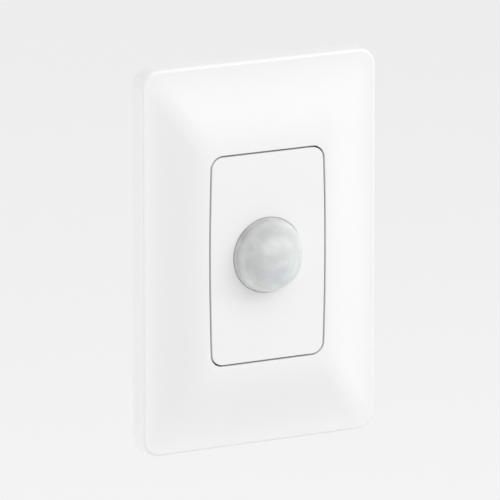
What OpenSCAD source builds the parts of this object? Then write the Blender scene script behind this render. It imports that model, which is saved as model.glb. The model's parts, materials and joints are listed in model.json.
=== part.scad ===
// Motion sensor light switch for a wall box: snap-on plate, sensor module with a domed lens,
// relay and three screw terminals.
// Everything is drawn lying on its back: x across, y up the wall, z the distance from the wall
// into the room. upright() then stands it up, so the room is at -Y and the wall plane is y = 0.

/* [Wall plate] */
// Width of the plate
plate_w = 80; // [77:0.5:88]
// Height of the plate
plate_h = 120; // [116:0.5:130]
// Corner radius of the plate
plate_corner = 6; // [4.5:0.5:8]
// Height of the plate's rim above the wall
plate_rim = 6.2; // [5.8:0.1:7]
// Thickness of the plate's shell
plate_wall = 2; // [1.6:0.1:2.2]
// Rounding between the plate's side and its face
plate_round = 1; // [0.8:0.1:2]
// Inward lean of the plate's side
plate_draft = 0.3; // [0:0.1:0.8]
// Depth of the lip round the plate's opening
plate_lip = 4; // [3:0.1:4.6]

/* [Plate clips] */
// Distance of the clips above and below the middle
clip_y = 24; // [20:0.5:26]
// Length of a clip along the plate
clip_l = 7.4; // [6:0.1:9]
// Thickness of a clip's tongue
clip_t = 1.6; // [1.2:0.1:1.8]
// Overhang of a clip's barb
clip_barb = 0.6; // [0.4:0.1:0.8]
// Extra length of a clip's shoulder at each end
clip_shoulder = 2.3; // [1.5:0.1:3]
// Gap between a clip and its window
clip_gap = 0.35; // [0.3:0.05:0.5]

/* [Front panel] */
// Width of the panel at its top and bottom edges
panel_w = 37.4; // [36.5:0.1:40]
// Height of the panel
panel_h = 64.3; // [63:0.1:67]
// Corner radius of the panel
panel_corner = 3.4; // [2.6:0.1:4.4]
// Bulge of each long side
panel_bow = 0.6; // [0:0.1:1]
// Thickness of the panel and its skirt
panel_wall = 1.8; // [1.4:0.1:2]
// Gap between the panel and the plate
panel_gap = 0.55; // [0.3:0.05:0.6]
// Distance of the panel's face from the wall
panel_out = 11.4; // [11:0.1:13]
// Length of each grip rib inside the skirt
grip_l = 8; // [5:0.5:10]

/* [Lens] */
// Radius of the dome at the panel's face
lens_r = 11.6; // [11.4:0.1:12.2]
// Height of the dome above the panel's face
lens_rise = 9.5; // [7.5:0.1:10.4]
// Distance of the lens and its sensors above the panel's middle
lens_y = 0.5; // [0:0.1:0.6]
// Thickness of the lens
lens_wall = 0.9; // [0.7:0.05:1.1]
// Overhang of the lens's flange
lens_flange = 2; // [1.6:0.1:2.3]
// Thickness of the lens's flange
lens_flange_t = 0.8; // [0.6:0.1:1]
// Gap round the lens in the panel
lens_gap = 0.12; // [0.08:0.02:0.2]
// Thickness of the ring behind the flange
ring_t = 1.6; // [1.2:0.1:1.9]
// Overlap of the ring on the lens's wall
ring_grip = 0.3; // [0.1:0.1:0.5]
// Wall of the collar round the flange
collar_wall = 1.2; // [0.8:0.1:1.4]

/* [Mounting frame] */
// Width of the frame
frame_w = 66; // [63:0.5:69]
// Height of the frame
frame_h = 104; // [100:0.5:108]
// Thickness of the frame
frame_t = 4; // [3.7:0.1:4.3]
// Thickness left under the housing's flange
frame_seat = 2; // [1.7:0.1:2.2]
// Corner radius of the frame
frame_corner = 5; // [3:0.5:8]
// Distance between the two wall-box screws
box_screw_pitch = 83.5; // [82.5:0.1:85]
// Width of each screw slot
box_slot_w = 4.2; // [3.8:0.1:4.6]
// Length of each screw slot
box_slot_l = 7; // [6:0.1:7.6]

/* [Housing] */
// Width of the housing beyond the panel at each side
housing_side = 2.8; // [2.4:0.05:3]
// Height of the housing beyond the panel at each end
housing_end = 1.85; // [1.2:0.05:2]
// Space between the relay and the housing's back wall
housing_space = 0.7; // [0.5:0.1:2]
// Thickness of the housing's walls
housing_wall = 1.8; // [1.5:0.1:2]
// Corner radius of the housing
housing_corner = 3; // [2:0.5:4]
// Overhang of the housing's flange
flange_lip = 3; // [2.4:0.1:3.3]
// Thickness of the housing's flange
flange_t = 1.6; // [1.3:0.1:2]
// Distance of the housing's hooks above and below the middle
hook_y = 16; // [12:0.5:20]
// Length of each hook
hook_l = 8; // [5:0.5:10]
// Overhang of each hook
hook_out = 1.4; // [1:0.1:1.6]
// Height of each hook
hook_t = 1; // [0.8:0.1:1.1]

/* [Inner cover] */
// Thickness of the inner cover
cover_t = 1.6; // [1.3:0.1:1.9]
// Gap between the inner cover and the panel's skirt
cover_gap = 0.3; // [0.25:0.05:0.4]
// Space between the inner cover and the lens ring
cover_space = 0.6; // [0.4:0.1:1]

/* [Cover screws] */
// Radius of a cover screw
screw_r = 1.25; // [1:0.05:1.4]
// Radius of a cover screw's head
screw_head_r = 2; // [1.7:0.1:2.2]
// Height of a cover screw's head
screw_head_h = 1.3; // [1:0.1:1.5]
// Length of a cover screw in its boss
screw_grip = 6; // [4:0.5:7]
// Radius of the posts and bosses round the screws
boss_r = 2.6; // [2.3:0.1:2.8]

/* [Circuit board] */
// Thickness of the board
board_t = 1.6; // [1.2:0.1:1.8]
// Depth of the board's front behind the flange's face
board_inset = 1.6; // [1.4:0.1:1.8]

/* [Infrared sensor] */
// Radius of the sensor's can
pir_r = 4.1; // [3.8:0.1:4.3]
// Radius of the sensor's header
pir_header_r = 4.6; // [4.5:0.1:4.8]
// Thickness of the header
pir_header_t = 0.9; // [0.7:0.1:1.1]
// Height of the sensor with its header
pir_h = 4.2; // [3.8:0.1:4.5]
// Height of the sensor's top above the inner cover
pir_proud = 1; // [0.8:0.1:1.5]
// Thickness of the can's sheet
pir_wall = 0.4; // [0.3:0.05:0.5]
// Width of the sensor's window
pir_window_w = 4; // [3.6:0.1:4.4]
// Height of the sensor's window
pir_window_h = 3; // [2.6:0.1:3.4]
// Thickness of the window's filter
pir_filter_t = 0.5; // [0.4:0.1:0.7]

/* [Light sensor] */
// Radius of the light sensor
ldr_r = 2.1; // [1.8:0.1:2.2]
// Thickness of the light sensor
ldr_t = 2; // [1.6:0.1:2.4]

/* [Trimmers] */
// Distance of each dial from the middle line
dial_x = 7.8; // [7:0.1:8]
// Space between the trimmers and the inner cover's end wall
dial_end = 3.75; // [3.6:0.05:5]
// Radius of a dial
dial_r = 2.2; // [1.9:0.1:2.4]
// Width of a trimmer's body
trimmer_w = 6.4; // [6:0.1:6.6]
// Height of a trimmer's body
trimmer_h = 2.3; // [2:0.1:2.5]
// Depth of the dial in its body
dial_sink = 1.2; // [0.8:0.1:1.5]

/* [Mode selector] */
// Space between the selector and the inner cover's end wall
selector_end = 0.65; // [0.4:0.05:1]
// Length of the selector's body
selector_l = 9.6; // [9.2:0.1:11]
// Width of the selector's body
selector_w = 4.6; // [4.2:0.1:4.8]
// Width of the knob across the slide
knob_w = 2.6; // [2.2:0.1:2.8]
// Length of the knob along the slide
knob_l = 2.4; // [2:0.1:2.8]
// Knob travel to each side
knob_travel = 2; // [1.5:0.1:2.1]
// Height of the knob above the inner cover
knob_proud = 1; // [0.6:0.1:1.4]

/* [Relay] */
// Length of the relay along the board
relay_l = 19; // [18.6:0.1:19.6]
// Width of the relay
relay_w = 15.5; // [15:0.1:15.8]
// Height of the relay
relay_h = 15.3; // [14.6:0.1:15.5]
// Distance of the relay's lower end above the middle
relay_y = 3.8; // [3.5:0.1:4.2]
// Thickness of the relay's case
relay_wall = 0.7; // [0.5:0.05:0.8]
// Thickness of the relay's base
relay_base_t = 1; // [0.8:0.1:1.2]
// Thickness of the yoke and the armature
relay_iron = 1; // [0.8:0.1:1.1]
// Radius of the core
core_r = 1.8; // [1.5:0.1:2]
// Radius of the coil's flanges
coil_r = 4.4; // [4:0.1:4.5]
// Length of the coil
coil_l = 7.9; // [7.4:0.1:8.2]
// Swing of the armature in degrees
armature_swing = 4; // [3:0.1:4.5]

/* [Board parts] */
// Width of the film capacitor
film_w = 7; // [6:0.1:7.5]
// Length of the film capacitor
film_l = 18; // [16:0.1:18.5]
// Height of the film capacitor
film_h = 12; // [10:0.5:14]
// Radius of the electrolytic capacitor
can_r = 3.15; // [2.5:0.05:4]
// Height of the electrolytic capacitor
can_h = 11; // [9:0.5:13]
// Radius of the varistor
varistor_r = 3.6; // [3:0.1:4]
// Thickness of the varistor
varistor_t = 3; // [2.4:0.1:4]
// Radius of the fuse
fuse_r = 4.2; // [3.8:0.1:4.4]
// Height of the fuse
fuse_h = 7.7; // [6:0.1:8.5]
// Width of the rectifier
rectifier_w = 6.4; // [6:0.1:7]
// Length of the rectifier
rectifier_l = 8.2; // [7.8:0.1:9]
// Radius of the leads
lead_r = 0.4; // [0.3:0.05:0.5]
// Space between the fuse or the rectifier and the housing's side walls
low_part_gap = 3; // [2.6:0.1:3.4]
// Distance of the fuse and the rectifier below the middle
low_part_y = 6.5; // [6:0.1:7]
// Space between the board's parts and the housing's side walls
part_gap = 0.8; // [0.6:0.1:1.2]

/* [Terminals] */
// Depth of the terminal block behind the housing
terminal_drop = 8.6; // [8.4:0.1:12]
// Distance from one terminal to the next
terminal_pitch = 9.5; // [9.2:0.1:11]
// Radius of a wire entry
wire_r = 1.8; // [1.5:0.1:1.85]
// Radius of a terminal screw
clamp_screw_r = 1.5; // [1.3:0.05:1.6]
// Radius of a terminal screw's head
clamp_head_r = 2.7; // [2.5:0.1:3]
// Height of a terminal screw's head
clamp_head_h = 2; // [1.6:0.1:2.2]
// Radius of the screwdriver holes
driver_r = 2.2; // [2:0.1:2.4]
// Travel of a clamp cage
clamp_travel = 3; // [2.8:0.1:3.2]
// Width of a clamp cage
cage_w = 7.2; // [6.8:0.1:7.4]
// Length of a clamp cage along the wire
cage_l = 7; // [6:0.1:7.4]
// Thickness of a clamp cage
cage_t = 1.2; // [1:0.1:1.3]
// Width of a contact bar
bar_w = 4; // [3.5:0.1:4.2]
// Thickness of a contact bar
bar_t = 1.2; // [1:0.1:1.4]
// Thickness of the shelf that holds the screws
shelf_t = 1.4; // [1.2:0.1:1.6]
// Thickness of the walls between the terminals
barrier_t = 1.2; // [1:0.1:1.3]
// Length of each latch that holds the terminal block
latch_l = 6; // [4:0.5:8]
// Thickness of a latch's tongue
latch_t = 1.2; // [1:0.1:1.4]
// Reach of a latch into the housing
latch_h = 6.4; // [5.5:0.1:7]
// Overhang of a latch's barb
latch_barb = 0.8; // [0.5:0.1:1]

/* [Clearances] */
// Gap round pieces that drop in
loose = 0.3; // [0.2:0.05:0.35]
// Gap round pins that turn
running = 0.06; // [0.04:0.01:0.1]
// Gap between flat faces that slide or bear
hair = 0.05; // [0.02:0.01:0.1]
// Gap round leads in the board
lead_gap = 0.15; // [0.1:0.05:0.2]

/* [Hidden] */
$fn = 48;

// Plate and panel
open_w = panel_w + 2 * panel_gap;
open_h = panel_h + 2 * panel_gap;
open_corner = panel_corner + panel_gap;
band_x = (plate_w - open_w) / 2;
band_y = (plate_h - open_h) / 2;
edge_in = plate_draft + plate_round;
corner_steps = 6;
side_steps = 6;
round_steps = 4;
face_steps = 10;
inside_steps = 7;

// Levels out from the wall
flange_front = frame_seat + flange_t;
cover_front = flange_front + cover_t;
panel_back = panel_out - panel_wall;
flange_back = panel_back - lens_flange_t;
ring_back = flange_back - ring_t;
roof_front = ring_back - cover_space;
roof_back = roof_front - cover_t;
board_front = flange_front - board_inset;
board_back = board_front - board_t;

// Lens
dome_r = (lens_r * lens_r + lens_rise * lens_rise) / (2 * lens_rise);
dome_z = panel_out + lens_rise - dome_r;
lens_flange_r = lens_r + lens_flange;
ring_bore = lens_r - lens_wall - ring_grip;

// Frame, housing and inner cover
housing_w = panel_w + 2 * housing_side;
housing_h = panel_h + 2 * housing_end;
flange_w = housing_w + 2 * flange_lip;
flange_h = housing_h + 2 * flange_lip;
flange_corner = housing_corner + flange_lip;
housing_depth = relay_h + housing_space + housing_wall - board_back;
inside_w = housing_w - 2 * housing_wall;
inside_h = housing_h - 2 * housing_wall;
inside_corner = housing_corner - housing_wall / 2;
block_w = panel_w - 2 * panel_wall - 2 * cover_gap;
block_h = panel_h - 2 * panel_wall - 2 * cover_gap;
block_corner = panel_corner - panel_wall / 2;
screw_x = block_w / 2 - boss_r - 0.1;
screw_y = block_h / 2 - boss_r - 0.1;
boss_l = screw_grip + 1.5;
clip_x = (flange_w + frame_w) / 4;
clip_z = 0.6;

// Sensors and controls
control_end = block_h / 2 - cover_t;
pir_top = roof_front + pir_proud;
pir_base = pir_top - pir_h;
ldr_top = roof_front + 0.2;
ldr_x = ring_bore - loose - ldr_r;
dial_top = roof_front + 0.3;
dial_y = control_end - dial_end - trimmer_w / 2;
selector_y = control_end - selector_end - selector_w / 2;
control_top = board_front + trimmer_h;
knob_top = roof_front + knob_proud;

// Relay, measured from the board's back
relay_x = -inside_w / 2 + part_gap + relay_w / 2;
coil_y = 8;
iron_w = 7.2;
hinge_y = 2.2;
coil_w0 = relay_base_t + relay_iron;
pole_w = coil_w0 + coil_l + 0.5;
hinge_w = pole_w + 0.7;
hinge_r = relay_iron / 2;
leaf_w = hinge_w + relay_iron;
leaf_t = 0.25;
contact_y = 15.4;
contact_r = 1.2;
contact_t = 0.7;
contact_drop = (contact_y + contact_r - hinge_y) * sin(armature_swing) + 0.05;
fixed_w = leaf_w - contact_t - contact_drop;

// Board parts
film_x = inside_w / 2 - part_gap - film_w / 2;
film_y = relay_y + film_l / 2;
mid_x = (relay_x + relay_w / 2 + film_x - film_w / 2) / 2;
can_y = 18.5;
varistor_y = 8.6;
chip_y = -10.5;
fuse_x = low_part_gap + fuse_r - inside_w / 2;
rectifier_x = inside_w / 2 - low_part_gap - rectifier_w / 2;

// Terminals
terminal_depth = housing_depth + terminal_drop;
wall_y = -housing_h / 2 + housing_wall;
head_y = wall_y + 0.2;
shelf_y = head_y + clamp_head_h + hair;
cage_y = shelf_y + shelf_t + 0.4 + clamp_travel;
tip_y = cage_y + cage_t + 0.5;
bar_y = tip_y + loose;
wire_y0 = bar_y + bar_t;
wire_y1 = wire_y0 + clamp_travel + 0.8;
wire_y = (wire_y0 + wire_y1) / 2;
cage_top = wire_y1 + cage_t;
block_top = cage_top + 0.6 + housing_wall;
terminal_back = -terminal_depth + housing_wall;
terminal_z = terminal_back + 0.6 + cage_l / 2;
terminal_h = block_top + housing_h / 2;
latch_x = inside_w / 2 - loose;
latch_y = wire_y0;
latch_z = -housing_depth + latch_h;

// Leads through the board, as [x, y]
back_leads = [
  [film_x, film_y - film_l / 2 + 1.5],
  [film_x, film_y + film_l / 2 - 1.5],
  [mid_x, can_y - 1.25],
  [mid_x, can_y + 1.25],
  [mid_x, varistor_y - 2.5],
  [mid_x, varistor_y + 2.5],
  [fuse_x - 2.5, -low_part_y],
  [fuse_x + 2.5, -low_part_y],
  [rectifier_x - 2.5, -low_part_y - 2.5],
  [rectifier_x + 2.5, -low_part_y - 2.5],
  [rectifier_x - 2.5, -low_part_y + 2.5],
  [rectifier_x + 2.5, -low_part_y + 2.5],
  [relay_x - 5, relay_y + 2],
  [relay_x + 5, relay_y + 2],
  [relay_x, relay_y + 2],
  [relay_x, relay_y + relay_l - 2]
];
pir_leads = [for (a = [30, 150, 270]) [2.5 * cos(a), lens_y + 2.5 * sin(a)]];
ldr_leads = [[ldr_x, lens_y - 1.2], [ldr_x, lens_y + 1.2]];

// Colours
white = [0.93, 0.93, 0.92];
milky = [0.82, 0.84, 0.83, 0.8];
grey = [0.72, 0.73, 0.74];
dark = [0.16, 0.16, 0.17];
green = [0.10, 0.36, 0.20];
steel = [0.74, 0.75, 0.77];
brass = [0.78, 0.62, 0.30];
copper = [0.72, 0.40, 0.22];
blue = [0.18, 0.32, 0.62];
yellow = [0.86, 0.70, 0.20];
cream = [0.90, 0.87, 0.78];

// Shapes

module upright() {
  rotate([90, 0, 0]) children();
}

module rounded(w, h, r) {
  square([w - 2 * r, h], center = true);
  square([w, h - 2 * r], center = true);
  for (sx = [-1, 1], sy = [-1, 1])
    translate([sx * (w / 2 - r), sy * (h / 2 - r)]) circle(r);
}

module slab(w, h, r, z0, z1) {
  translate([0, 0, z0]) linear_extrude(z1 - z0) rounded(w, h, r);
}

module brick(x0, x1, y0, y1, z0, z1) {
  translate([x0, y0, z0]) cube([x1 - x0, y1 - y0, z1 - z0]);
}

module rod(x, y, r, z0, z1) {
  translate([x, y, z0]) cylinder(r = r, h = z1 - z0);
}

module rod_up(x, z, r, y0, y1) {
  translate([x, y0, z]) rotate([-90, 0, 0]) cylinder(r = r, h = y1 - y0);
}

module at_corners(x, y) {
  for (sx = [-1, 1], sy = [-1, 1])
    translate([sx * x, sy * y, 0]) children();
}

// Outlines with bowed long sides

function bow_at(y, h, bow) = bow * (1 - pow(2 * y / h, 2));

function arc(x, y, r, a) = [
  for (k = [0 : corner_steps])
    [x + r * cos(a + 90 * k / corner_steps), y + r * sin(a + 90 * k / corner_steps)]
];

function side(x, y0, y1) = [
  for (k = [1 : side_steps - 1]) [x, y0 + (y1 - y0) * k / side_steps]
];

function square_outline(w, h, r) = concat(
  arc(w / 2 - r, r - h / 2, r, -90),
  side(w / 2, r - h / 2, h / 2 - r),
  arc(w / 2 - r, h / 2 - r, r, 0),
  arc(r - w / 2, h / 2 - r, r, 90),
  side(-w / 2, h / 2 - r, r - h / 2),
  arc(r - w / 2, r - h / 2, r, 180)
);

function outline(w, h, r, bow) = [
  for (p = square_outline(w, h, r)) [p[0] + sign(p[0]) * bow_at(p[1], h, bow), p[1]]
];

module bowed(inset, z0, z1) {
  translate([0, 0, z0])
    linear_extrude(z1 - z0)
      polygon(outline(panel_w - 2 * inset, panel_h - 2 * inset, max(panel_corner - inset, 0.6), panel_bow));
}

// Wall plate

function ease(t) = t * t * (3 - 2 * t);

function mix(a, b, t) = a + (b - a) * t;

function face_z(t) = mix(plate_rim, panel_out, ease(min(max(t, 0), 1)));

function face_t(inset) = (inset - edge_in) / (band_x - edge_in);

// Each ring of the shell is [inset across, inset up, corner radius, bow, height]
function rim_ring(a) =
  let (d = plate_draft + plate_round * (1 - cos(a)))
  [d, d, plate_corner - d, 0, plate_rim - plate_round * (1 - sin(a))];

function face_ring(t) = [
  mix(edge_in, band_x, t),
  mix(edge_in, band_y, t),
  mix(plate_corner - edge_in, open_corner, t),
  panel_bow * t,
  face_z(t)
];

function inside_ring(s) =
  let (d = mix(plate_draft + plate_wall, band_x - plate_wall, s))
  [
    d,
    mix(plate_draft + plate_wall, band_y - plate_wall, s),
    mix(plate_corner - plate_wall, open_corner + plate_wall, s),
    panel_bow * s,
    face_z(face_t(d)) - plate_wall
  ];

shell_rings = concat(
  [[0, 0, plate_corner, 0, 0]],
  [for (k = [0 : round_steps]) rim_ring(90 * k / round_steps)],
  [for (k = [1 : face_steps]) face_ring(k / face_steps)],
  [[band_x, band_y, open_corner, panel_bow, panel_out - plate_lip]],
  [[band_x - plate_wall, band_y - plate_wall, open_corner + plate_wall, panel_bow, panel_out - plate_lip]],
  [for (k = [inside_steps : -1 : 0]) inside_ring(k / inside_steps)],
  [[plate_wall, plate_wall, plate_corner - plate_wall, 0, 0]]
);

module plate_shell() {
  rings = len(shell_rings);
  points = [
    for (q = shell_rings)
      for (p = outline(plate_w - 2 * q[0], plate_h - 2 * q[1], q[2], q[3])) [p[0], p[1], q[4]]
  ];
  n = len(points) / rings;
  faces = [
    for (i = [0 : rings - 1])
      for (j = [0 : n - 1])
        let (a = i * n, b = ((i + 1) % rings) * n, k = (j + 1) % n)
          each [[a + j, b + j, b + k], [a + j, b + k, a + k]]
  ];
  polyhedron(points, faces);
}

module clip(s) {
  top = face_z(face_t(plate_w / 2 - clip_x)) - plate_wall / 2;
  shoulder = clip_l / 2 + clip_shoulder;
  brick(-clip_t / 2, clip_t / 2, -shoulder, shoulder, frame_t, top);
  brick(-clip_t / 2, clip_t / 2, -clip_l / 2, clip_l / 2, clip_z, frame_t);
  x = s > 0 ? clip_t / 2 : -clip_t / 2 - clip_barb;
  brick(x, x + clip_barb, -clip_l / 2, clip_l / 2, clip_z + 0.2, clip_z + 1.2);
}

module wall_plate() {
  color(white) upright() union() {
    plate_shell();
    for (sx = [-1, 1], sy = [-1, 1])
      translate([sx * clip_x, sy * clip_y, 0]) clip(sx);
  }
}

// Front panel and lens

module front_panel() {
  collar_r = lens_flange_r + lead_gap;
  grip_y = panel_h / 4;
  reach = bow_at(grip_y, panel_h, panel_bow) + cover_gap - 0.1;
  rib_x = panel_w / 2 - panel_wall - cover_gap + 0.1;
  color(white) upright() difference() {
    union() {
      bowed(0, panel_back, panel_out);
      difference() {
        bowed(0, cover_front, panel_back);
        bowed(panel_wall, cover_front - 1, panel_back + 1);
      }
      difference() {
        rod(0, lens_y, collar_r + collar_wall, ring_back, panel_back);
        rod(0, lens_y, collar_r, ring_back - 1, panel_back + 1);
      }
      for (sx = [-1, 1], sy = [-1, 1])
        translate([sx > 0 ? rib_x : -rib_x - reach - 0.4, sy * grip_y - grip_l / 2, cover_front])
          cube([reach + 0.4, grip_l, 0.8]);
    }
    rod(0, lens_y, lens_r + lens_gap, panel_back - 1, panel_out + 1);
  }
}

module lens() {
  color(milky) upright() translate([0, lens_y, 0]) difference() {
    union() {
      rod(0, 0, lens_flange_r, flange_back, panel_back);
      rod(0, 0, lens_r, flange_back, panel_out);
      intersection() {
        translate([0, 0, dome_z]) sphere(dome_r);
        rod(0, 0, lens_r + 1, panel_out, panel_out + lens_rise + 1);
      }
    }
    rod(0, 0, lens_r - lens_wall, flange_back - 1, panel_out);
    intersection() {
      translate([0, 0, dome_z]) sphere(dome_r - lens_wall);
      rod(0, 0, lens_r - lens_wall, panel_out - 0.5, panel_out + lens_rise);
    }
  }
}

module lens_ring() {
  color(grey) upright() translate([0, lens_y, 0]) difference() {
    rod(0, 0, lens_flange_r, ring_back, flange_back);
    rod(0, 0, ring_bore, ring_back - 1, flange_back + 1);
  }
}

// Mounting frame and housing

module clip_window(s) {
  x0 = s > 0 ? -clip_t / 2 : -clip_t / 2 - clip_barb;
  x1 = x0 + clip_t + clip_barb;
  y = clip_l / 2 + clip_gap;
  brick(x0 - clip_gap, x1 + clip_gap, -y, y, -1, frame_t + 1);
}

module box_slot() {
  run = (box_slot_l - box_slot_w) / 2;
  for (s = [-1, 1])
    rod(0, s * run, box_slot_w / 2, -1, frame_t + 1);
  brick(-box_slot_w / 2, box_slot_w / 2, -run, run, -1, frame_t + 1);
}

module mounting_frame() {
  hook_x = housing_w / 2 + hook_out + loose;
  color(grey) upright() difference() {
    slab(frame_w, frame_h, frame_corner, 0, frame_t);
    slab(housing_w + 2 * loose, housing_h + 2 * loose, housing_corner + loose, -1, frame_t + 1);
    slab(flange_w + 2 * loose, flange_h + 2 * loose, flange_corner + loose, frame_seat, frame_t + 1);
    for (s = [-1, 1])
      translate([0, s * box_screw_pitch / 2, 0]) box_slot();
    for (sx = [-1, 1], sy = [-1, 1])
      translate([sx * clip_x, sy * clip_y, 0]) clip_window(sx);
    for (s = [-1, 1])
      brick(-hook_x, hook_x, s * hook_y - hook_l / 2 - loose, s * hook_y + hook_l / 2 + loose, -1, hook_t + 0.2);
  }
}

module housing_shell() {
  slab(housing_w, housing_h, housing_corner, -housing_depth, flange_front);
  slab(flange_w, flange_h, flange_corner, frame_seat, flange_front);
  for (s = [-1, 1])
    brick(-housing_w / 2 - hook_out, housing_w / 2 + hook_out, s * hook_y - hook_l / 2, s * hook_y + hook_l / 2,
      0.2 - hair, hook_t + 0.2 - hair);
}

module terminal_hollow(z0, z1) {
  hollow_h = terminal_h - 2 * housing_wall;
  translate([0, wall_y + hollow_h / 2, 0])
    slab(inside_w, hollow_h, inside_corner, z0, z1);
}

module latch_window() {
  y = latch_l / 2 + loose;
  brick(-housing_w, housing_w, latch_y - y, latch_y + y, latch_z - 1 - 2 * hair, latch_z + loose);
}

module boss() {
  rod(0, 0, boss_r, board_back - boss_l, board_back);
}

module rear_housing() {
  rib = inside_w / 2 - screw_x + housing_wall / 2;
  color(grey) upright() difference() {
    union() {
      difference() {
        housing_shell();
        slab(inside_w, inside_h, inside_corner, housing_wall - housing_depth, flange_front + 1);
        terminal_hollow(-housing_depth - 1, 0);
        latch_window();
      }
      at_corners(screw_x, screw_y) boss();
      for (sx = [-1, 1], sy = [-1, 1])
        translate([sx > 0 ? screw_x : -screw_x - rib, sy * screw_y - 1, board_back - boss_l])
          cube([rib, 2, boss_l]);
    }
    at_corners(screw_x, screw_y)
      rod(0, 0, screw_r + hair, board_back - screw_grip - 0.5, board_back + 1);
  }
}

// Inner cover and its screws

module inner_cover() {
  slot_x = knob_travel + knob_l / 2 + loose;
  slot_y = knob_w / 2 + loose;
  color(white) upright() difference() {
    union() {
      difference() {
        union() {
          slab(flange_w, flange_h, flange_corner, flange_front, cover_front);
          slab(block_w, block_h, block_corner, flange_front, roof_front);
        }
        slab(block_w - 2 * cover_t, block_h - 2 * cover_t, block_corner / 2, flange_front - 1, roof_back);
      }
      at_corners(screw_x, screw_y)
        rod(0, 0, boss_r, board_front, roof_back + cover_t / 2);
    }
    at_corners(screw_x, screw_y)
      rod(0, 0, screw_r + loose, board_front - 1, roof_front + 1);
    rod(0, lens_y, pir_header_r + loose, roof_back - 1, roof_front + 1);
    rod(ldr_x, lens_y, ldr_r + loose, roof_back - 1, roof_front + 1);
    for (s = [-1, 1])
      rod(s * dial_x, dial_y, dial_r + 2 * loose, roof_back - 1, roof_front + 1);
    brick(-slot_x, slot_x, -selector_y - slot_y, -selector_y + slot_y, roof_back - 1, roof_front + 1);
  }
}

module cover_screws() {
  color(steel) upright() at_corners(screw_x, screw_y) difference() {
    union() {
      rod(0, 0, screw_head_r, roof_front, roof_front + screw_head_h);
      rod(0, 0, screw_r, board_back - screw_grip, roof_front);
    }
    for (a = [0, 90])
      rotate(a) brick(-1.2, 1.2, -0.25, 0.25, roof_front + screw_head_h - 0.7, roof_front + screw_head_h + 1);
  }
}

// Circuit board, sensors and controls

module circuit_board() {
  pin = bar_t / 2 + lead_gap;
  color(green) upright() difference() {
    slab(inside_w - 2 * loose, inside_h - 2 * loose, inside_corner, board_back, board_front);
    at_corners(screw_x, screw_y)
      rod(0, 0, screw_r + loose, board_back - 1, board_front + 1);
    for (p = concat(back_leads, pir_leads, ldr_leads))
      rod(p[0], p[1], lead_r + lead_gap, board_back - 1, board_front + 1);
    for (k = [-1 : 1])
      translate([k * terminal_pitch, bar_y + bar_t / 2, 0])
        brick(-pin, pin, -pin, pin, board_back - 1, board_front + 1);
  }
}

module part_leads() {
  color(steel) upright() {
    for (p = back_leads)
      rod(p[0], p[1], lead_r, board_back, board_front);
    for (p = pir_leads)
      rod(p[0], p[1], lead_r, board_back, pir_base);
    for (p = ldr_leads)
      rod(p[0], p[1], lead_r, board_back, ldr_top - ldr_t);
  }
}

module pir_spacer() {
  color(white) upright() difference() {
    rod(0, lens_y, pir_header_r - 0.2, board_front, pir_base);
    for (p = pir_leads)
      rod(p[0], p[1], lead_r + lead_gap, board_front - 1, pir_base + 1);
  }
}

module pir_header() {
  color(steel) upright() rod(0, lens_y, pir_header_r, pir_base, pir_base + pir_header_t);
}

module pir_can() {
  x = pir_window_w / 2;
  y = pir_window_h / 2;
  color(steel) upright() translate([0, lens_y, 0]) difference() {
    rod(0, 0, pir_r, pir_base + pir_header_t, pir_top);
    rod(0, 0, pir_r - pir_wall, pir_base, pir_top - pir_wall);
    brick(-x, x, -y, y, pir_base, pir_top + 1);
  }
}

module pir_window() {
  x = pir_window_w / 2 + 0.4;
  y = pir_window_h / 2 + 0.4;
  color(dark) upright() translate([0, lens_y, 0])
    brick(-x, x, -y, y, pir_top - pir_wall - pir_filter_t, pir_top - pir_wall);
}

module light_sensor() {
  color(cream) upright() translate([0, lens_y, 0]) difference() {
    rod(ldr_x, 0, ldr_r, ldr_top - ldr_t, ldr_top);
    for (k = [-1 : 1])
      brick(ldr_x - 1.2, ldr_x + 1.2, k * 0.7 - 0.1, k * 0.7 + 0.1, ldr_top - 0.2, ldr_top + 1);
  }
}

module trimmer_bodies() {
  color(blue) upright() for (s = [-1, 1])
    translate([s * dial_x, dial_y, 0]) difference() {
      slab(trimmer_w, trimmer_w, 0.6, board_front, control_top);
      rod(0, 0, dial_r + loose, control_top - dial_sink, control_top + 1);
    }
}

module dial() {
  difference() {
    rod(0, 0, dial_r, control_top - dial_sink + hair, dial_top);
    brick(-0.4, 0.4, -dial_r * 0.6, dial_r + 1, dial_top - 1, dial_top + 1);
  }
}

module time_dial() {
  color(white) upright() translate([-dial_x, dial_y, 0]) dial();
}

module light_dial() {
  color(white) upright() translate([dial_x, dial_y, 0]) dial();
}

module selector_body() {
  x = knob_travel + knob_l / 2 + loose;
  y = knob_w / 2 + loose;
  color(dark) upright() translate([0, -selector_y, 0]) difference() {
    slab(selector_l, selector_w, 0.4, board_front, control_top);
    brick(-x, x, -y, y, control_top - dial_sink, control_top + 1);
  }
}

module selector_knob() {
  color(white) upright() translate([0, -selector_y, 0]) difference() {
    slab(knob_l, knob_w, 0.3, control_top - dial_sink + hair, knob_top);
    for (s = [-1, 1])
      brick(s * knob_l / 4 - 0.15, s * knob_l / 4 + 0.15, -knob_w, knob_w, knob_top - 0.25, knob_top + 1);
  }
}

// Relay: y along its length, height measured back from the board

module on_relay() {
  translate([relay_x, relay_y, board_back]) mirror([0, 0, 1]) children();
}

module relay_base() {
  color(dark) upright() on_relay() brick(-relay_w / 2, relay_w / 2, 0, relay_l, 0, relay_base_t);
}

module relay_case() {
  x = relay_w / 2 - relay_wall;
  color(blue) upright() on_relay() difference() {
    brick(-relay_w / 2, relay_w / 2, 0, relay_l, relay_base_t, relay_h);
    brick(-x, x, relay_wall, relay_l - relay_wall, relay_base_t - 1, relay_h - relay_wall);
  }
}

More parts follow.
